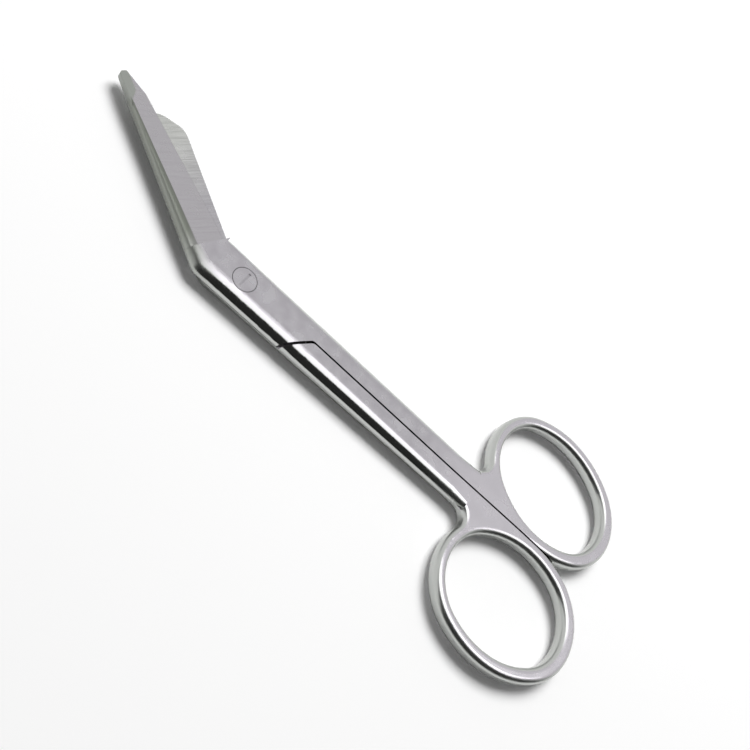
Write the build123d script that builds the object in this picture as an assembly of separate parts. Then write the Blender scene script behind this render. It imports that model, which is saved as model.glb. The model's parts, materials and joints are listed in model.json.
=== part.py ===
"""Bandage scissors: two forged steel halves that turn on one flush pivot screw.

Each half is one piece: finger ring, web, shank, lap plate and blade. The probe-blade half has the
long blade with the blunt probe nose and lies on top at the lap joint. The short-blade half lies under it.
While the pieces are drawn, the pivot is at X = Y = 0, +X runs towards the blades, the probe half's
ring is on the -Y side, and the scissors lie on Z = 0. The finished pieces are then moved together so
that the origin is under the middle of the closed scissors.
"""
from build123d import *
import os
from math import cos, radians, sin, tan

# Lap joint and shanks, in millimetres and degrees.
joint_thickness = 4.6      # both lap plates together
joint_half_width = 5.2     # from the seam to the outer side of either shank, at the joint
lap_gap = 0.12             # running gap between the two sliding lap faces
seam_gap = 0.4             # gap between the closed shanks, also round the shoulders
shoulder_seam_reach = 17.6   # from the pivot back to where a shoulder meets the seam
shoulder_edge_reach = 13.0   # from the pivot back to where a shoulder leaves the outer edge
shoulder_turn_radius = 1.2   # where a shoulder runs into the seam
shank_start = 19.0         # from the pivot back to where the joint ends and the shank tapers
side_round_height = 2.0    # how far down and up the outer sides are ground round
elbow_round_width = 3.2    # how far in that rounding reaches at the probe half's elbow, seen from above
shank_round_width = 2.9    # the same at the back of the joint
heel_side_round_width = 1.4  # the same at the heels and at the short half's elbow

# Finger rings.
ring_thickness = 3.7
ring_rounding = 1.25
ring_band = 3.0            # width of the ring's rim, seen from above
ring_shift = 0.4           # the rim is thinner in front and thicker behind by this
ring_hole_long = 30.3
ring_hole_short = 24.1
ring_reach = 79.6          # from the pivot back to the middle of a ring
ring_offset = 14.6         # from the seam to the middle of a ring
ring_tilt = 6.4            # the long axes of the rings spread apart towards the blades
web_length = 22.6          # from the middle of a ring forward to the end of the shank
web_half_width = 4.9       # from the seam to the outer side of the shank, at the web
web_round_width = 2.1      # rounding of the shank's outer side at the web, seen from above
web_round_height = 1.75    # how far down and up that rounding reaches
web_round_run = 5.0        # length in which it runs out into the ring's rounding
web_run_in = 5.0           # slope at which the ring's rim meets the seam
crotch_radius = 2.9        # between the shank and the ring

# Probe blade, the long one.
probe_elbow_reach = 8.2    # from the pivot forward to the corner of the back
probe_elbow_radius = 4.0
probe_back_bend = 33.0     # angle from the shank to the blade's back
probe_edge_bend = 25.0     # angle from the shank to the blade's cutting edge
probe_edge_start = 7.1     # from the pivot forward to the heel of the cutting edge
probe_step_along_back = 4.2  # from the elbow corner along the back to the ground step
probe_back_length = 36.4   # from the elbow corner along the back to the nose
probe_edge_length = 33.0   # from the heel along the cutting edge to the nose
probe_tip_back = 1.7       # thickness of the back beside the nose
probe_tip_rounding = 0.4   # along the back beside the nose
nose_length = 5.4
nose_end_width = 2.2
nose_end_radius = 1.0
nose_end_back = 1.3        # thickness of the nose's end, on the side of the back
nose_end_edge = 0.9        # the same on the side of the cutting edge, where it is blunt
nose_bevel_run = 2.3       # how far the nose's bevel runs back along the blade's back
nose_bevel_tilt = 38.0     # slope of that bevel

# Short blade.
short_elbow_reach = 6.1    # from the pivot forward to the corner before the cutting edge
short_elbow_radius = 4.0
short_edge_bend = 34.6     # angle from the shank to the cutting edge
short_back_bend = 33.8     # angle from the shank to the blade's back
short_back_start = 6.1     # from the pivot forward to the corner before the back
short_step_along_edge = 4.2  # from the elbow corner along the edge to the ground step
short_blade_length = 35.0  # from the elbow corner along the cutting edge to the end
short_end_setback = 9.4    # how much shorter the back is than the edge, up to the sloping end
short_end_length = 6.3     # along the sloping end
short_end_slope = 13.0     # angle from the shank to the sloping end
short_end_back_radius = 4.0  # between the back and the end
short_end_edge_radius = 4.5  # between the end and the cutting edge
short_tip_back = 1.5       # thickness of the back at the end
short_tip_rounding = 0.4   # along the back at the end

# Ground faces, alike on both blades.
heel_back_drop = 0.05      # depth of the step at the back, where it runs out
heel_round_width = 2.4     # rounding of the back beside the step, seen from above
heel_round_height = 1.7    # how far down that rounding reaches
edge_thickness = 0.45      # behind the cutting bevel
edge_bevel_width = 0.4

# Pivot screw.
screw_head_diameter = 5.0
screw_shank_diameter = 3.4
screw_cone_depth = 0.9
screw_clearance = 0.05     # radial, where the probe half turns on the screw
slot_length = 3.6
slot_width = 0.45
slot_depth = 0.15
slot_angle = 85.0          # from the seam

mid_height = joint_thickness / 2
lap_face = mid_height + lap_gap / 2
half_seam = seam_gap / 2
shank_end = ring_reach - web_length
ring_end_radius = ring_hole_short * (1 + ring_hole_short / ring_hole_long) / 4
ring_end_centre = ring_hole_long / 2 - ring_end_radius
ring_side_radius = ((ring_end_centre ** 2 + (ring_hole_short / 2) ** 2 - ring_end_radius ** 2)
                    / (ring_hole_short - 2 * ring_end_radius))
ring_side_centre = ring_side_radius - ring_hole_short / 2
ring_place = Pos(-ring_reach, -ring_offset) * Rot(0, 0, -ring_tilt)
hole_place = ring_place * Pos(ring_shift, 0)
cut_margin = 1.0           # how far a cut runs past the piece that it trims


def from_above(points, height, depth):
    """Solid with straight plan sides, from height up by depth."""
    return Pos(0, 0, height) * extrude(make_face(Polyline(points, close=True)), depth)


def along(start, angle, distance):
    """Point at a distance from start, in the direction of a plan angle."""
    return (start[0] + distance * cos(radians(angle)), start[1] + distance * sin(radians(angle)))


def shank_section(reach, half_width, thickness, round_width, round_height):
    """D-shaped section of the shank, square at the seam and rounded outside."""
    low = mid_height - thickness / 2
    high = mid_height + thickness / 2
    inside = round_width - half_width
    upper = EllipticalCenterArc((inside, high - round_height), round_width, round_height, 90, arc_size=90)
    lower = EllipticalCenterArc((inside, low + round_height), round_width, round_height, 180, arc_size=90)
    wall = Line(upper @ 1, lower @ 0)
    rest = Polyline(lower @ 1, (-half_seam, low), (-half_seam, high), upper @ 0)
    across = Plane(origin=(-reach, 0, 0), x_dir=(0, 1, 0), z_dir=(1, 0, 0))
    return across * make_face([upper, wall, lower, rest])


def oval(grow):
    """Oval of four arcs round the origin, outside the finger hole's size by grow."""
    share = (ring_end_radius + grow) / (ring_side_radius - ring_end_radius)
    x = ring_end_centre * (1 + share)
    y = ring_side_centre * share
    far_x = ring_hole_long / 2 + grow
    far_y = ring_hole_short / 2 + grow
    ends = [ThreePointArc((way * x, -y), (way * far_x, 0), (way * x, y)) for way in (1, -1)]
    sides = [ThreePointArc((-x, way * y), (0, way * far_y), (x, way * y)) for way in (1, -1)]
    return make_face(ends + sides)


def finger_ring():
    """Oval ring with its web, on the -Y side of the seam."""
    slope = radians(ring_tilt + web_run_in)
    side_radius = ring_side_radius + ring_band
    run_in = ring_place * Pos(-side_radius * sin(slope), side_radius * cos(slope) - ring_side_centre)
    start = (run_in.position.X, run_in.position.Y)
    front_edge = start[1] - (start[0] + shank_end) * tan(radians(web_run_in))
    web = make_face(Polyline(start, (-shank_end, front_edge), (-shank_end, -web_half_width),
                             (-ring_reach, -web_half_width), close=True))
    outline = ring_place * oval(ring_band) + web
    outer_side = [point for point in outline.vertices() if abs(point.Y + web_half_width) < 0.001]
    outline = fillet(ShapeList(outer_side).sort_by(Axis.X)[0], crotch_radius)
    outline -= hole_place * oval(0)
    ring = Pos(0, 0, mid_height - ring_thickness / 2) * extrude(outline, ring_thickness)
    flats = [ring.faces().sort_by(Axis.Z)[0], ring.faces().sort_by(Axis.Z)[-1]]
    rims = [edge for flat in flats for edge in flat.edges() if edge.center().X < -shank_end - 0.01]
    ring = fillet(rims, ring_rounding)
    back_end = -2 * ring_reach
    past_seam = [(0, -half_seam), (0, ring_offset), (back_end, ring_offset), (back_end, -half_seam)]
    return ring - from_above(past_seam, 0, joint_thickness)


def handle():
    """Shank and finger ring on the -Y side, up to the back of the joint."""
    at_joint = shank_section(shank_start, joint_half_width, joint_thickness,
                             shank_round_width, side_round_height)
    at_web = shank_section(shank_end, web_half_width, ring_thickness, web_round_width, web_round_height)
    ring = finger_ring()
    run = [(-shank_end, web_round_width, web_round_height),
           (-shank_end - web_round_run, ring_rounding, ring_rounding)]
    for up in (1, -1):
        sections = [relief((x, -web_half_width), (0, -1, 0), up, ring_thickness, width, height)
                    for x, width, height in run]
        ring -= loft(sections, ruled=True)
    return ring + loft([at_web, at_joint], ruled=True)


def shoulder_line(side, shift):
    """Plan line of a shoulder, from far back on the seam out past the outer edge, on one side."""
    past_edge = joint_half_width + cut_margin
    slope = (shoulder_seam_reach - shoulder_edge_reach) / joint_half_width
    turn = (-shoulder_seam_reach + shift, -half_seam)
    out = (-shoulder_edge_reach + slope * cut_margin + shift, side * past_edge - half_seam)
    back = (-shank_start - cut_margin, -half_seam)
    return FilletPolyline(back, turn, out, radius=shoulder_turn_radius)


def lap_half(blank):
    """Keeps of a full-thickness joint its upper lap plate and, behind the shoulder, its own shank."""
    past_edge = joint_half_width + cut_margin
    front_end = blank.bounding_box().max.X + cut_margin
    back_end = -shank_start - cut_margin
    upper_line = shoulder_line(1, half_seam)
    upper_rest = Polyline(upper_line @ 1, (front_end, past_edge), (front_end, -past_edge),
                          (back_end, -past_edge), upper_line @ 0)
    lower_line = shoulder_line(-1, -half_seam)
    lower_rest = Polyline(lower_line @ 1, (back_end, -past_edge), lower_line @ 0)
    upper = Pos(0, 0, lap_face) * extrude(make_face([upper_line, upper_rest]), joint_thickness - lap_face)
    lower = Pos(0, 0, 0) * extrude(make_face([lower_line, lower_rest]), lap_face)
    return (blank & upper) + (blank & lower)


def relief(place, outward, up, thickness, width, height):
    """Section that is ground away along an upper or lower outer edge, which runs through place."""
    ground = EllipticalCenterArc((-width, -height), width, height, 0, arc_size=90)
    outside = Polyline((-width, 0), (-width, cut_margin), (cut_margin, cut_margin), (cut_margin, -height),
                       (0, -height))
    edge_height = mid_height + up * thickness / 2
    run = Vector(*outward).cross(Vector(0, 0, up))
    across = Plane(origin=(*place, edge_height), x_dir=outward, z_dir=run)
    return across * make_face([ground, outside])


def joint_blank(elbow_side, elbow_reach, elbow_radius, round_width, bend, step_along, heel_reach, step):
    """Full-thickness joint with rounded outer sides, from the shank forward to the ground step.

    The elbow is the convex corner on one side. The step is the pair of points where the joint ends, the one
    on the elbow's side first.
    """
    side = elbow_side * joint_half_width
    elbow = (elbow_reach, side)
    outline = make_face(Polyline((-shank_start, side), elbow, *step, (-shank_start, -side), close=True))
    outline = fillet(outline.vertices().sort_by_distance((*elbow, 0))[0], elbow_radius)
    blank = extrude(outline, joint_thickness)
    turn_length = elbow_radius * tan(radians(bend / 2))
    turn_start = (elbow_reach - turn_length, side)
    turn_end = along(elbow, -elbow_side * bend, turn_length)
    past_step = along(elbow, -elbow_side * bend, step_along + cut_margin)
    blade_outward = (sin(radians(bend)), elbow_side * cos(radians(bend)), 0)
    turn_axis = Axis((turn_start[0], side - elbow_side * elbow_radius, 0), (0, 0, -elbow_side))
    for up in (1, -1):
        elbow_run = [((-shank_start, side), shank_round_width), (turn_start, round_width)]
        heel_run = [((-shank_start, -side), shank_round_width), ((heel_reach, -side), heel_side_round_width)]
        for way, run in ((elbow_side, elbow_run), (-elbow_side, heel_run)):
            sections = [relief(place, (0, way, 0), up, joint_thickness, width, side_round_height)
                        for place, width in run]
            blank -= loft(sections, ruled=True)
        turn = relief(turn_start, (0, elbow_side, 0), up, joint_thickness, round_width, side_round_height)
        blank -= revolve(turn, turn_axis, bend)
        step_width = min(round_width, heel_round_width)
        sections = [relief(turn_end, blade_outward, up, joint_thickness, round_width, side_round_height),
                    relief(past_step, blade_outward, up, joint_thickness, step_width, heel_round_height)]
        blank -= loft(sections, ruled=True)
    return blank


def blade_section(back_point, edge_point, back_thickness, round_width, round_height, edge=edge_thickness):
    """Section across a blade: flat inner face below, ground face above, cutting bevel at the edge."""
    across = Vector(*edge_point) - Vector(*back_point)
    width = across.length
    bevel = (width - edge_bevel_width, edge)
    fall = (back_thickness - edge) / bevel[0]
    face_start = (round_width, back_thickness - fall * round_width)
    back_round = Bezier((0, back_thickness - round_height), (0, back_thickness), face_start)
    rest = Polyline(face_start, bevel, (width, 0), (0, 0), (0, back_thickness - round_height))
    upright = Plane(origin=(*back_point, lap_face), x_dir=across, z_dir=across.cross(Vector(0, 0, 1)))
    return upright * make_face([back_round, rest])


def blade(back_points, edge_points, tip_back, tip_rounding):
    """Tapering blade from the ground step to its tip, flat inside and ground outside."""
    heel_back = joint_thickness - lap_face - heel_back_drop
    heel = blade_section(back_points[0], edge_points[0], heel_back, heel_round_width, heel_round_height)
    tip = blade_section(back_points[1], edge_points[1], tip_back, tip_rounding, tip_rounding)
    return loft([heel, tip], ruled=True)


def probe_nose(back_point, edge_point):
    """Blunt round-ended nose that carries the long blade on, and the bevel that is ground off its back."""
    across = (Vector(*back_point) - Vector(*edge_point)).normalized()
    forward = across.cross(Vector(0, 0, 1))
    middle = (Vector(*back_point) + Vector(*edge_point)) / 2 + forward * nose_length
    end_back = tuple(middle + across * nose_end_width / 2)[:2]
    end_edge = tuple(middle - across * nose_end_width / 2)[:2]
    rounding = (probe_tip_rounding, probe_tip_rounding)
    base = blade_section(back_point, edge_point, probe_tip_back, *rounding)
    end = blade_section(end_back, end_edge, nose_end_back, *rounding, nose_end_edge)
    outline = make_face(Polyline(back_point, end_back, end_edge, edge_point, close=True))
    for corner in (end_back, end_edge):
        outline = fillet(outline.vertices().sort_by_distance((*corner, 0))[0], nose_end_radius)
    nose = loft([base, end], ruled=True) & extrude(outline, joint_thickness)
    bevel_start = Vector(*back_point, lap_face + probe_tip_back) - forward * nose_bevel_run
    bevel_end = middle + Vector(0, 0, lap_face + nose_end_back)
    tilt = radians(nose_bevel_tilt)
    upward = Vector(0, 0, cos(tilt)) + across * sin(tilt)
    ground = Plane(origin=bevel_start, x_dir=bevel_end - bevel_start, z_dir=upward)
    cut_size = 4 * nose_length
    ahead = (Align.MIN, Align.CENTER, Align.MIN)
    return nose, ground * Box(cut_size, cut_size, cut_size, align=ahead)


def screw_profile(clearance):
    """Half section of the screw, or of its hole in the probe half with a clearance added."""
    head = screw_head_diameter / 2 + clearance
    shank = screw_shank_diameter / 2 + clearance
    cone_end = joint_thickness - screw_cone_depth
    points = [(0, 0), (shank, 0), (shank, cone_end), (head, joint_thickness), (0, joint_thickness)]
    return Plane.XZ * make_face(Polyline(points, close=True))


def pivot_screw():
    """Countersunk screw, filed flush at both ends, with what is left of its driving slot."""
    screw = revolve(screw_profile(0), Axis.Z)
    slot = Box(slot_length, slot_width, 2 * slot_depth)
    return screw - Pos(0, 0, joint_thickness) * Rot(0, 0, slot_angle) * slot


def probe_blade_half():
    """Upper half: long blade with the probe nose, lap plate, shank and ring."""
    elbow = (probe_elbow_reach, joint_half_width)
    heel = (probe_edge_start, -joint_half_width)
    step_back = along(elbow, -probe_back_bend, probe_step_along_back)
    nose_back = along(elbow, -probe_back_bend, probe_back_length)
    nose_edge = along(heel, -probe_edge_bend, probe_edge_length)
    blank = joint_blank(1, probe_elbow_reach, probe_elbow_radius, elbow_round_width, probe_back_bend,
                        probe_step_along_back, probe_edge_start, [step_back, heel])
    half = lap_half(blank) + handle()
    half += blade([step_back, nose_back], [heel, nose_edge], probe_tip_back, probe_tip_rounding)
    nose, ground_off = probe_nose(nose_back, nose_edge)
    half = half + nose - ground_off
    return half - revolve(screw_profile(screw_clearance), Axis.Z)


def short_blade_half():
    """Lower half: short blade with the sloping round end, lap plate, shank and ring.

    It is drawn as the upper half is, ring on the -Y side, and then turned over along the seam.
    """
    elbow = (short_elbow_reach, -joint_half_width)
    back_corner = (short_back_start, joint_half_width)
    step_edge = along(elbow, short_edge_bend, short_step_along_edge)
    tip_edge = along(elbow, short_edge_bend, short_blade_length)
    end_back = along(back_corner, short_back_bend, short_blade_length - short_end_setback)
    end_edge = along(end_back, -short_end_slope, short_end_length)
    past_edge = along(tip_edge, short_edge_bend, short_end_length)
    past_back = along(back_corner, short_back_bend, short_blade_length + short_end_length)
    blank = joint_blank(-1, short_elbow_reach, short_elbow_radius, heel_side_round_width, short_edge_bend,
                        short_step_along_edge, short_back_start, [step_edge, back_corner])
    half = lap_half(blank) + handle()
    plain = blade([back_corner, past_back], [step_edge, past_edge], short_tip_back, short_tip_rounding)
    outline = make_face(Polyline(back_corner, end_back, end_edge, tip_edge, step_edge, close=True))
    outline = fillet(outline.vertices().sort_by_distance((*end_back, 0))[0], short_end_back_radius)
    outline = fillet(outline.vertices().sort_by_distance((*end_edge, 0))[0], short_end_edge_radius)
    half += plain & extrude(outline, joint_thickness)
    half -= Cylinder(screw_shank_diameter / 2, 4 * joint_thickness)
    return Pos(0, 0, joint_thickness) * Rot(180, 0, 0) * half


pieces = {
    "probe_blade_half": probe_blade_half(),
    "short_blade_half": short_blade_half(),
    "pivot_screw": pivot_screw(),
}

os.makedirs("parts", exist_ok=True)
box = Compound(children=[Part(piece.wrapped) for piece in pieces.values()]).bounding_box()
to_origin = Pos(-box.center().X, -box.center().Y, -box.min.Z)
for name, piece in pieces.items():
    export_step(to_origin * piece, f"parts/{name}.step")
print("pivot at", to_origin.position)
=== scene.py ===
"""Bandage scissors in satin stainless steel on white paper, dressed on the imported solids."""
import json
from math import cos, radians, sin
import bpy
from mathutils import Matrix, Vector


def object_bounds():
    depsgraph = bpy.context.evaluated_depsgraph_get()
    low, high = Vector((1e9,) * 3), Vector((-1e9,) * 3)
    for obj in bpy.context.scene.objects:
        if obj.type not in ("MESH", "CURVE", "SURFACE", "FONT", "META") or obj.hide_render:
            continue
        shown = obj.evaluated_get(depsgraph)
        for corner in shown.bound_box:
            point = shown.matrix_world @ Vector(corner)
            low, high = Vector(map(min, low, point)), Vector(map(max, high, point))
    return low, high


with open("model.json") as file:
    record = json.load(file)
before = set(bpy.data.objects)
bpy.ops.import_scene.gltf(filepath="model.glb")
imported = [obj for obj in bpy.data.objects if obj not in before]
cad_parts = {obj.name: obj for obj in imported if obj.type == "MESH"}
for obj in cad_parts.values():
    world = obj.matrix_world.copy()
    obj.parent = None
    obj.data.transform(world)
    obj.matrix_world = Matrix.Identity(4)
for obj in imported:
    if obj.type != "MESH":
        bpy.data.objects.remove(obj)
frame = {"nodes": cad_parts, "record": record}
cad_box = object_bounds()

# Short-blade half: the lower of two drop forgings, ring, shank, lap plate and round-ended blade in one.
# It is hardened stainless steel, belt ground on its flats and tumbled, with the blade's face wheel ground.
# It lies under the probe half and carries the screw in a threaded hole.
millimetre = 0.001
cloud_size = 2.6 * millimetre      # patches left by the belt on the flats
grain_size = 0.35 * millimetre     # belt grit, really finer, drawn as coarse as shows in the picture
grain_depth = 0.002 * millimetre
stroke_width = 0.30 * millimetre   # strokes of the grinding wheel across the blades, drawn coarser too
stroke_length = 7.0 * millimetre
stroke_depth = 0.003 * millimetre
noise_low = 0.3                    # the noises between these two values spread over the whole tone
noise_high = 0.7
satin_low = 0.22                   # roughness of the flats, from patch to patch
satin_high = 0.29
bright_rough = 0.14                # roughness of the shanks' round sides
tumbled_rough = 0.28               # roughness of the rings' round sides
matt_rough = 0.45                  # roughness of the blades' backs
flat_start = 0.90                  # upright share of the normal, where a surface begins to count as a flat
flat_full = 0.955
wall_start = 0.5                   # upright share of the normal, where a surface begins to count as a wall
wall_full = 0.3
end_on = 0.5                       # lengthwise share of the normal, over which a wall faces along the shank
back_start = 3.0 * millimetre      # from the pivot forward to where the backs begin to turn matt
back_end = 14.0 * millimetre       # the same where they are fully matt
blade_light = 28.0 * millimetre    # the same where the ground faces have their lightest tone
edge_start = 0.03                  # lean of the normal to the back's side, where the joint's edge begins
edge_full = 0.15
back_turn = 0.05                   # change of lean from a blade's face to its back
back_shade_lean = 0.1                  # lean at which the back's painted shade is darkest
back_light_lean = 0.65                  # the same where its painted light is lightest
polish_start = 60.0 * millimetre   # from the pivot back to where the rings' satin begins to turn bright
polish_end = 46.0 * millimetre     # the same where the shanks are fully bright
seam_reach = 0.30 * millimetre     # the seam's faces lie within this of the middle line
shoulder_middle = 15.3 * millimetre  # from the pivot back to the middle of the shoulders
shoulder_reach = 3.2 * millimetre
short_blade_bend = -34.0           # direction of the short blade, from the shank
short_heel = (6.1 * millimetre, -5.2 * millimetre, 0)  # where the ground step meets the edge, from the pivot
short_step_way = 66.7              # direction of the step, from the shank
short_lean = 0.05                  # lean over which the short blade's surface is its back
short_twist = 0.0                  # its face is flat
short_heel_tones = ("#A3A1A5", "#B0AEB2")
short_end_tones = ("#B0B1AE", "#C8C9C6")
# Near black for the painted shade in the gaps at the seam, the shoulders and round the screw's head.
gap_shade_tone = "#211F1E"
pivot = Vector(frame["record"]["behaviour"]["joints"][0]["pos_m"])


def linear(hex_colour):
    """Linear RGBA of an sRGB hex colour."""
    channels = [int(hex_colour[place:place + 2], 16) / 255 for place in (1, 3, 5)]
    return [c / 12.92 if c <= 0.04045 else ((c + 0.055) / 1.055) ** 2.4 for c in channels] + [1.0]


def add(tree, kind, settings=None, links=None):
    """One new node: settings by property, input name or input number, links from input to output socket."""
    node = tree.nodes.new(kind)
    for name, value in (settings or {}).items():
        if isinstance(name, int) or name in node.inputs:
            node.inputs[name].default_value = value
        else:
            setattr(node, name, value)
    for name, socket in (links or {}).items():
        tree.links.new(socket, node.inputs[name])
    return node


def new_tree(owner):
    """Cleared node tree of a new material or world."""
    owner.use_nodes = True
    owner.node_tree.nodes.clear()
    return owner.node_tree


def satin_stainless(name, blade_bend, heel, step_way, face_lean, face_twist, heel_tones, end_tones, depth):
    """Hardened stainless steel. The belt leaves its flats satin with faint cloudy patches, the wheel leaves
    short strokes across the blades, and the backs of the blades stay matt and greenish grey, with painted
    shade where they lean little and painted light where they lean far. Tumbling leaves the rings satin and
    the shanks' round sides bright. Painted shade darkens the gaps at the seam and the shoulders."""
    material = bpy.data.materials.new(name)
    tree = new_tree(material)
    coords = add(tree, "ShaderNodeTexCoord").outputs
    place = add(tree, "ShaderNodeSeparateXYZ", links={"Vector": coords["Object"]}).outputs
    normal = add(tree, "ShaderNodeSeparateXYZ", links={"Vector": coords["Normal"]}).outputs

    # Where the point lies: on a flat, on the blade past its ground step, and how near the ring.
    upright = add(tree, "ShaderNodeMath", {"operation": "ABSOLUTE"}, {0: normal["Z"]}).outputs[0]
    flat = add(tree, "ShaderNodeMapRange", {"From Min": flat_start, "From Max": flat_full},
               {"Value": upright}).outputs[0]
    forward = Vector((sin(radians(step_way)), -cos(radians(step_way)), 0))
    step_place = (pivot + Vector(heel)).dot(forward)
    past_step = add(tree, "ShaderNodeVectorMath", {"operation": "DOT_PRODUCT", 1: forward},
                    {0: coords["Object"]}).outputs["Value"]
    on_blade = add(tree, "ShaderNodeMath", {"operation": "GREATER_THAN", 1: step_place},
                   {0: past_step}).outputs[0]
    along_blade = add(tree, "ShaderNodeMapRange",
                      {"From Min": pivot.x + back_end, "From Max": pivot.x + blade_light},
                      {"Value": place["X"]}).outputs[0]
    at_ring = add(tree, "ShaderNodeMapRange",
                  {"From Min": pivot.x - polish_end, "From Max": pivot.x - polish_start},
                  {"Value": place["X"]}).outputs[0]

    # Tone of the flats and of the ground faces, with a plain tone for the round sides.
    cloud = add(tree, "ShaderNodeTexNoise", {"Scale": 1 / cloud_size, "Detail": 2.0, "Roughness": 0.4},
                {"Vector": coords["Object"]}).outputs["Fac"]
    patch = add(tree, "ShaderNodeMapRange", {"From Min": noise_low, "From Max": noise_high},
                {"Value": cloud}).outputs[0]
    belt = add(tree, "ShaderNodeMixRGB", {"Color1": linear("#A9A6AB"), "Color2": linear("#B1AFB3")},
               {"Fac": patch}).outputs[0]
    tumbled = add(tree, "ShaderNodeMixRGB", {"Color2": linear("#BCB9BE")},
                  {"Fac": at_ring, "Color1": belt}).outputs[0]
    across = add(tree, "ShaderNodeMapping",
                 {"vector_type": "TEXTURE", "Rotation": (0, 0, radians(blade_bend)),
                  "Scale": (stroke_width, stroke_length, stroke_length)},
                 {"Vector": coords["Object"]}).outputs[0]
    stroke = add(tree, "ShaderNodeTexNoise", {"Scale": 1.0, "Detail": 2.0}, {"Vector": across}).outputs["Fac"]
    streak = add(tree, "ShaderNodeMapRange", {"From Min": noise_low, "From Max": noise_high},
                 {"Value": stroke}).outputs[0]
    heel_part, end_part = [
        add(tree, "ShaderNodeMixRGB", {"Color1": linear(dark), "Color2": linear(light)},
            {"Fac": streak}).outputs[0] for dark, light in (heel_tones, end_tones)]
    ground = add(tree, "ShaderNodeMixRGB",
                 links={"Fac": along_blade, "Color1": heel_part, "Color2": end_part}).outputs[0]
    face = add(tree, "ShaderNodeMixRGB",
               links={"Fac": on_blade, "Color1": tumbled, "Color2": ground}).outputs[0]
    tone = add(tree, "ShaderNodeMixRGB", {"Color1": linear("#BCBEBB")},
               {"Fac": flat, "Color2": face}).outputs[0]
    satin = add(tree, "ShaderNodeMapRange", {"To Min": satin_low, "To Max": satin_high},
                {"Value": patch}).outputs[0]
    side = add(tree, "ShaderNodeMapRange", {"To Min": bright_rough, "To Max": tumbled_rough},
               {"Value": at_ring}).outputs[0]
    finish = add(tree, "ShaderNodeMapRange",
                 links={"Value": flat, "To Min": side, "To Max": satin}).outputs[0]

    # Matt back of the blade, told from the face by how the normal leans, as the face twists towards its end.
    outward = (-sin(radians(blade_bend)), cos(radians(blade_bend)), 0)
    lean = add(tree, "ShaderNodeVectorMath", {"operation": "DOT_PRODUCT", 1: outward},
               {0: coords["Normal"]}).outputs["Value"]
    twist = add(tree, "ShaderNodeMath",
                {"operation": "MULTIPLY_ADD", 1: face_twist, 2: -face_twist * (pivot.x + back_end)},
                {0: place["X"]}).outputs[0]
    turned = add(tree, "ShaderNodeMath", {"operation": "ADD"}, {0: lean, 1: twist}).outputs[0]
    off_face = add(tree, "ShaderNodeMapRange", {"From Min": face_lean, "From Max": face_lean + back_turn},
                   {"Value": turned}).outputs[0]
    off_flat = add(tree, "ShaderNodeMapRange", {"From Min": edge_start, "From Max": edge_full},
                   {"Value": lean}).outputs[0]
    lean_share = add(tree, "ShaderNodeMapRange",
                     links={"Value": on_blade, "To Min": off_flat, "To Max": off_face}).outputs[0]
    back_share = add(tree, "ShaderNodeMapRange",
                     {"From Min": pivot.x + back_start, "From Max": pivot.x + back_end},
                     {"Value": place["X"]}).outputs[0]
    back = add(tree, "ShaderNodeMath", {"operation": "MULTIPLY"}, {0: lean_share, 1: back_share}).outputs[0]
    # Tone of the back: dark where it leans little, light where it leans far, painted shade and painted light
    # that even out what it mirrors.
    back_painted_shading = add(tree, "ShaderNodeMapRange", {"From Min": back_shade_lean, "From Max": back_light_lean},
                {"Value": lean}).outputs[0]
    matt_back_painted = add(tree, "ShaderNodeMixRGB", {"Color1": linear("#73766F"), "Color2": linear("#989B94")},
                    {"Fac": back_painted_shading}).outputs[0]
    dull = add(tree, "ShaderNodeMixRGB",
               links={"Fac": back, "Color1": tone, "Color2": matt_back_painted}).outputs[0]
    rough = add(tree, "ShaderNodeMapRange", {"To Max": matt_rough},
                {"Value": back, "To Min": finish}).outputs[0]

    # Painted shade on the walls of the seam and of the shoulders, in the gaps between the halves.
    wall = add(tree, "ShaderNodeMapRange", {"From Min": wall_start, "From Max": wall_full},
               {"Value": upright}).outputs[0]
    off_seam = add(tree, "ShaderNodeMath", {"operation": "ABSOLUTE"}, {0: place["Y"]}).outputs[0]
    at_seam = add(tree, "ShaderNodeMath", {"operation": "LESS_THAN", 1: seam_reach},
                  {0: off_seam}).outputs[0]
    behind = add(tree, "ShaderNodeMath", {"operation": "LESS_THAN", 1: pivot.x - shoulder_middle},
                 {0: place["X"]}).outputs[0]
    seam = add(tree, "ShaderNodeMath", {"operation": "MULTIPLY"}, {0: at_seam, 1: behind}).outputs[0]
    lengthwise = add(tree, "ShaderNodeMath", {"operation": "ABSOLUTE"}, {0: normal["X"]}).outputs[0]
    crosswise = add(tree, "ShaderNodeMath", {"operation": "GREATER_THAN", 1: end_on},
                    {0: lengthwise}).outputs[0]
    at_shoulder = add(tree, "ShaderNodeMath",
                      {"operation": "COMPARE", 1: pivot.x - shoulder_middle, 2: shoulder_reach},
                      {0: place["X"]}).outputs[0]
    shoulder = add(tree, "ShaderNodeMath", {"operation": "MULTIPLY"},
                   {0: crosswise, 1: at_shoulder}).outputs[0]
    inner = add(tree, "ShaderNodeMath", {"operation": "MAXIMUM"}, {0: seam, 1: shoulder}).outputs[0]
    gap = add(tree, "ShaderNodeMath", {"operation": "MULTIPLY"}, {0: wall, 1: inner}).outputs[0]
    gap_shaded = add(tree, "ShaderNodeMixRGB", {"Color2": linear(gap_shade_tone)},
                {"Fac": gap, "Color1": dull}).outputs[0]

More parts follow.
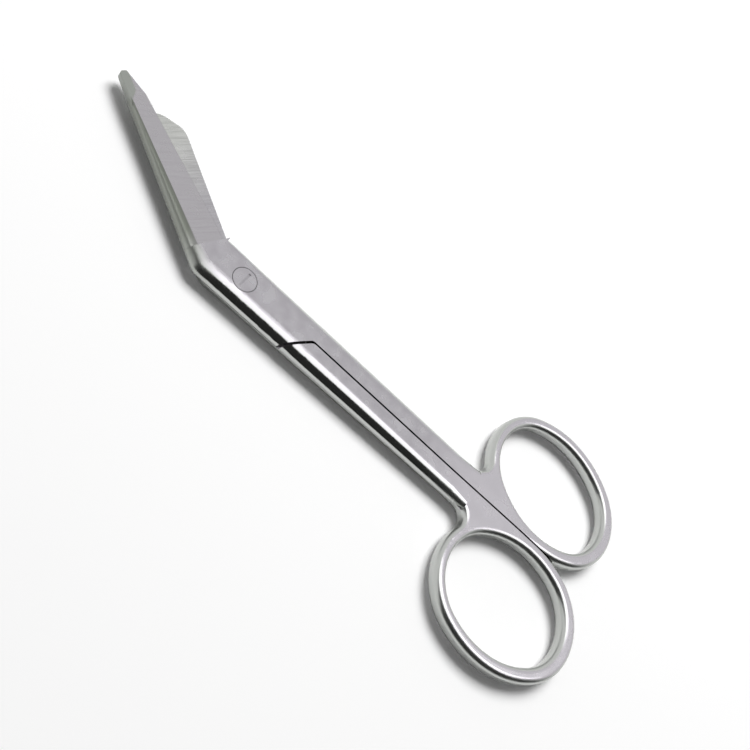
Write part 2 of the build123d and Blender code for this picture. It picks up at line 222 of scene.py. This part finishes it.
    # Relief of the flats: belt grit, and the wheel's strokes on the blades.
    grain = add(tree, "ShaderNodeTexNoise", {"Scale": 1 / grain_size, "Detail": 2.0},
                {"Vector": coords["Object"]}).outputs["Fac"]
    relief = add(tree, "ShaderNodeMixRGB",
                 links={"Fac": on_blade, "Color1": grain, "Color2": stroke}).outputs[0]
    deep = add(tree, "ShaderNodeMapRange", {"To Min": grain_depth, "To Max": depth},
               {"Value": on_blade}).outputs[0]
    bump = add(tree, "ShaderNodeBump",
               links={"Height": relief, "Distance": deep, "Strength": flat}).outputs[0]
    steel = add(tree, "ShaderNodeBsdfPrincipled", {"Metallic": 1.0},
                {"Base Color": gap_shaded, "Roughness": rough, "Normal": bump})
    add(tree, "ShaderNodeOutputMaterial", links={"Surface": steel.outputs[0]})
    return material, tree, steel


def dress(node_name, material):
    """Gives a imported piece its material."""
    node = frame["nodes"][node_name]
    node.data.materials.clear()
    node.data.materials.append(material)


# Its face is lighter and more streaked towards the end.
short_steel = satin_stainless(
    "satin_stainless_short_half", short_blade_bend, short_heel, short_step_way, short_lean, short_twist,
    short_heel_tones, short_end_tones, stroke_depth)[0]
dress("short_blade_half", short_steel)

# Pivot screw: a countersunk stainless screw, turned, driven home through the probe half into the short
# half and filed flush with the plate, so that only its rim and a shallow rest of the slot show.
slot_shade = 0.05 * millimetre     # below the plate, where the slot's painted shade is at its full share
slot_share = 0.15
plate_top = cad_box[1][2]


def cover(tree, shader, socket, share, value):
    """Lays another colour or roughness over part of a steel."""
    bare = shader.inputs[socket].links[0].from_socket
    film = add(tree, "ShaderNodeMixRGB", {"Color2": value}, {"Fac": share, "Color1": bare}).outputs[0]
    tree.links.new(film, shader.inputs[socket])


# It has the finish of the flat round it, and the slot is a little darker with painted shade, more so deeper
# down.
screw_steel, screw_tree, screw_shader = satin_stainless(
    "filed_stainless_screw", short_blade_bend, short_heel, short_step_way, short_lean, short_twist,
    short_heel_tones, short_end_tones, stroke_depth)
screw_coords = add(screw_tree, "ShaderNodeTexCoord").outputs["Object"]
screw_height = add(screw_tree, "ShaderNodeSeparateXYZ", links={"Vector": screw_coords}).outputs["Z"]
# Painted shade in the slot, darker the deeper it lies below the plate.
slot_painted_shade = add(screw_tree, "ShaderNodeMapRange",
                {"From Min": plate_top - slot_shade, "From Max": plate_top,
                 "To Min": slot_share, "To Max": 0.0},
                {"Value": screw_height}).outputs[0]
cover(screw_tree, screw_shader, "Base Color", slot_painted_shade, linear("#3A3836"))
dress("pivot_screw", screw_steel)

# Probe-blade half: the upper forging, of the same steel and finish, with the long blade that ends in a
# blunt probe nose. It turns on the screw, and a dark line of painted shade stands in the gap round the
# screw's head.
probe_blade_bend = -33.0           # direction of the probe blade's back, from the shank
probe_heel = (7.1 * millimetre, -5.2 * millimetre, 0)  # where the ground step meets the edge, from the pivot
probe_step_way = 60.3              # direction of the step, from the shank
probe_lean = -0.165                # lean over which the probe blade's surface is its back, near the heel
probe_twist = 2.6                  # how much further the face leans away, per metre towards the nose
probe_tones = ("#AAA7AB", "#B0AEB1")
probe_stroke_depth = 0.0009 * millimetre  # finer strokes than on the short blade
screw_head_radius = 2.5 * millimetre
gap_shade_width = 0.16 * millimetre   # from the screw's head to where the painted shade ends
gap_shade_core_width = 0.096 * millimetre  # the same where it begins to fade
gap_shade_share = 0.95
elbow = Vector((8.2 * millimetre, 5.2 * millimetre, 0))  # corner of the back, from the pivot
facet_start = 35.2 * millimetre    # along the back from the elbow to where the nose's ground facet widens
facet_full = 38.3 * millimetre     # the same where it is fully wide
facet_blend = 1.0 * millimetre     # over which the facet comes out of the back
facet_narrow = 0.65 * millimetre   # width of the facet on the blade
facet_wide = 2.35 * millimetre     # the same on the nose
facet_slope = 0.16 * millimetre    # width of the ground slope between the face and the facet
facet_drop = 0.10 * millimetre
facet_rough = 0.40

# Its face has an even lilac grey, and the matt facet on the nose is greener and a little darker.
probe_steel, probe_tree, probe_shader = satin_stainless(
    "satin_stainless_probe_half", probe_blade_bend, probe_heel, probe_step_way, probe_lean, probe_twist,
    probe_tones, probe_tones, probe_stroke_depth)
probe_place = add(probe_tree, "ShaderNodeTexCoord").outputs["Object"]
from_pivot = add(probe_tree, "ShaderNodeVectorMath", {"operation": "SUBTRACT", 1: pivot},
                 {0: probe_place}).outputs[0]
in_plan = add(probe_tree, "ShaderNodeVectorMath", {"operation": "MULTIPLY", 1: (1, 1, 0)},
              {0: from_pivot}).outputs[0]
radius = add(probe_tree, "ShaderNodeVectorMath", {"operation": "LENGTH"}, {0: in_plan}).outputs["Value"]
# Painted shade: a dark line in the gap round the screw's head.
screw_gap_shade = add(probe_tree, "ShaderNodeMapRange",
          {"From Min": screw_head_radius + gap_shade_core_width, "From Max": screw_head_radius + gap_shade_width,
           "To Min": gap_shade_share, "To Max": 0.0},
          {"Value": radius}).outputs[0]
cover(probe_tree, probe_shader, "Base Color", screw_gap_shade, linear(gap_shade_tone))
from_elbow = add(probe_tree, "ShaderNodeVectorMath", {"operation": "SUBTRACT", 1: elbow},
                 {0: in_plan}).outputs[0]
back_way = Vector((cos(radians(probe_blade_bend)), sin(radians(probe_blade_bend)), 0))
inward_way = Vector((sin(radians(probe_blade_bend)), -cos(radians(probe_blade_bend)), 0))
along_back = add(probe_tree, "ShaderNodeVectorMath", {"operation": "DOT_PRODUCT", 1: back_way},
                 {0: from_elbow}).outputs["Value"]
inward = add(probe_tree, "ShaderNodeVectorMath", {"operation": "DOT_PRODUCT", 1: inward_way},
             {0: from_elbow}).outputs["Value"]
facet_width = add(probe_tree, "ShaderNodeMapRange",
                  {"interpolation_type": "SMOOTHSTEP", "From Min": facet_start, "From Max": facet_full,
                   "To Min": facet_narrow, "To Max": facet_wide},
                  {"Value": along_back}).outputs[0]
facet_edge = add(probe_tree, "ShaderNodeMath", {"operation": "SUBTRACT"},
                 {0: facet_width, 1: inward}).outputs[0]
facet_reach = add(probe_tree, "ShaderNodeMapRange", {"From Max": facet_slope},
                  {"Value": facet_edge}).outputs[0]
nose_part = add(probe_tree, "ShaderNodeMapRange",
                {"From Min": facet_start, "From Max": facet_start + facet_blend},
                {"Value": along_back}).outputs[0]
facet = add(probe_tree, "ShaderNodeMath", {"operation": "MULTIPLY"},
            {0: facet_reach, 1: nose_part}).outputs[0]
cover(probe_tree, probe_shader, "Base Color", facet, linear("#9A9D98"))
cover(probe_tree, probe_shader, "Roughness", facet, (facet_rough, facet_rough, facet_rough, 1.0))
facet_bump = add(probe_tree, "ShaderNodeBump", {"invert": True, "Distance": facet_drop},
                 {"Height": facet, "Normal": probe_shader.inputs["Normal"].links[0].from_socket}).outputs[0]
probe_tree.links.new(facet_bump, probe_shader.inputs["Normal"])
dress("probe_blade_half", probe_steel)

# Table: a sheet of matt white paper under the scissors, wide enough to fill every view.
# It keeps the scissors' soft shadow, and away from them it runs into plain white.
paper_side = 3.0
paper_gap = 0.05 * millimetre      # between the paper and the scissors
paper_lift = 0.05                  # what the paper adds to reach white, where the picture or the steel looks
white_start = 0.12                 # from the scissors' middle to where the paper begins to turn plain white
white_full = 0.30                  # the same where it is plain white
paper_corner = paper_side / 2
paper_mesh = bpy.data.meshes.new("white_paper")
paper_mesh.from_pydata([(-paper_corner, -paper_corner, 0), (paper_corner, -paper_corner, 0),
                        (paper_corner, paper_corner, 0), (-paper_corner, paper_corner, 0)],
                       [], [(0, 1, 2, 3)])
paper = bpy.data.objects.new("white_paper", paper_mesh)
bpy.context.scene.collection.objects.link(paper)
paper.location.z = cad_box[0][2] - paper_gap

# It looks matt and white, as thick uncoated paper does under soft light.
paper_white = bpy.data.materials.new("matt_white_paper")
paper_tree = new_tree(paper_white)
paper_path = add(paper_tree, "ShaderNodeLightPath").outputs
seen = add(paper_tree, "ShaderNodeMath", {"operation": "MAXIMUM"},
           {0: paper_path["Is Camera Ray"], 1: paper_path["Is Glossy Ray"]}).outputs[0]
lift = add(paper_tree, "ShaderNodeMath", {"operation": "MULTIPLY", 1: paper_lift}, {0: seen}).outputs[0]
glow = add(paper_tree, "ShaderNodeEmission", links={"Strength": lift}).outputs[0]
matt = add(paper_tree, "ShaderNodeBsdfDiffuse", {"Color": linear("#FFFFFF")}).outputs[0]
paper_face = add(paper_tree, "ShaderNodeAddShader", links={0: matt, 1: glow}).outputs[0]
paper_place = add(paper_tree, "ShaderNodeTexCoord").outputs["Object"]
paper_reach = add(paper_tree, "ShaderNodeVectorMath", {"operation": "LENGTH"},
                  {0: paper_place}).outputs["Value"]
far_off = add(paper_tree, "ShaderNodeMapRange", {"From Min": white_start, "From Max": white_full},
              {"Value": paper_reach}).outputs[0]
far_seen = add(paper_tree, "ShaderNodeMath", {"operation": "MULTIPLY"}, {0: far_off, 1: seen}).outputs[0]
backdrop = add(paper_tree, "ShaderNodeEmission", {"Strength": 1.0}).outputs[0]
paper_shown = add(paper_tree, "ShaderNodeMixShader",
                  links={0: far_seen, 1: paper_face, 2: backdrop}).outputs[0]
add(paper_tree, "ShaderNodeOutputMaterial", links={"Surface": paper_shown})
paper_mesh.materials.append(paper_white)

# Studio: a bright wall beyond the scissors and a long softbox overhead, with the camera's side left dark.
# The flats mirror the wall, and the round sides mirror the softbox and then the dark side.
# A key softbox beyond the scissors lights the paper alone and draws their shadow on it.
room_level = 0.95
dark_level = 0.03
dark_start = -0.25                 # how far the gaze leans towards the camera's side, where the wall ends
dark_full = 0.15                   # the same where the dark begins
side_start = 0.50                  # how far the gaze leans towards the blades, where the dark ends
side_full = 0.74                   # the same where the wall is bright again
paper_share = 0.38                 # share of the room's light that the paper takes beside the key softbox
room = bpy.data.worlds.new("studio_room")
bpy.context.scene.world = room
room_tree = new_tree(room)
gaze = add(room_tree, "ShaderNodeTexCoord").outputs["Generated"]
towards = add(room_tree, "ShaderNodeSeparateXYZ", links={"Vector": gaze}).outputs
dusk = add(room_tree, "ShaderNodeMapRange",
           {"From Min": dark_start, "From Max": dark_full, "To Min": room_level, "To Max": dark_level},
           {"Value": towards["Y"]}).outputs[0]
aside = add(room_tree, "ShaderNodeMapRange", {"From Min": side_start, "From Max": side_full},
            {"Value": towards["X"]}).outputs[0]
grey = add(room_tree, "ShaderNodeMapRange", {"To Max": room_level},
           {"Value": aside, "To Min": dusk}).outputs[0]
room_path = add(room_tree, "ShaderNodeLightPath").outputs
share = add(room_tree, "ShaderNodeMapRange", {"To Min": paper_share},
            {"Value": room_path["Is Glossy Ray"]}).outputs[0]
shown = add(room_tree, "ShaderNodeMath", {"operation": "MULTIPLY"}, {0: grey, 1: share}).outputs[0]
level = add(room_tree, "ShaderNodeMapRange", {"To Max": 1.0},
            {"Value": room_path["Is Camera Ray"], "To Min": shown}).outputs[0]
walls = add(room_tree, "ShaderNodeBackground", {"Color": linear("#FFFFFF")},
            {"Strength": level}).outputs[0]
add(room_tree, "ShaderNodeOutputWorld", links={"Surface": walls})


def softbox(name, place, target, length, width, power, on_steel, on_paper):
    """Rectangular softbox, turned to its target with its length along X, that lights steel, paper or both."""
    lamp = bpy.data.lights.new(name, "AREA")
    lamp.shape = "RECTANGLE"
    lamp.size = length
    lamp.size_y = width
    lamp.energy = power
    box = bpy.data.objects.new(name, lamp)
    bpy.context.scene.collection.objects.link(box)
    aim = (Vector(place) - Vector(target)).normalized()
    across = aim.cross(Vector((1, 0, 0))).normalized()
    turn = Matrix((across.cross(aim), across, aim)).transposed().to_4x4()
    box.matrix_world = Matrix.Translation(place) @ turn
    box.visible_glossy = on_steel
    box.visible_diffuse = on_paper


softbox("overhead_softbox", place=(-0.25, -0.09, 0.90), target=(-0.25, 0.0, 0.0),
        length=1.2, width=0.55, power=4.4, on_steel=True, on_paper=False)
softbox("key_softbox", place=(0.0, -0.50, 0.85), target=(0.0, 0.0, 0.0),
        length=0.6, width=0.50, power=9.3, on_steel=False, on_paper=True)

# Camera: close above the blades on the short half's side, as the picture was taken.
# Its place and directions were fitted to the rings, the seam and the screw in the picture.
camera_data = bpy.data.cameras.new("camera")
camera_data.sensor_width = 36.0
camera_data.lens = 45.7185
camera_data.clip_start = 5 * millimetre
camera = bpy.data.objects.new("camera", camera_data)
bpy.context.scene.collection.objects.link(camera)
camera_place = Vector((36.5626, 111.2582, 147.7675)) * millimetre
camera_right = Vector((-0.721307, -0.424556, 0.547238))
camera_up = Vector((0.658053, -0.666555, 0.350246))
camera_back = Vector((0.216065, 0.612745, 0.760170))
camera_turn = Matrix((camera_right, camera_up, camera_back)).transposed().to_4x4()
camera.matrix_world = Matrix.Translation(camera_place) @ camera_turn
bpy.context.scene.camera = camera
bpy.context.scene.view_settings.view_transform = "Standard"
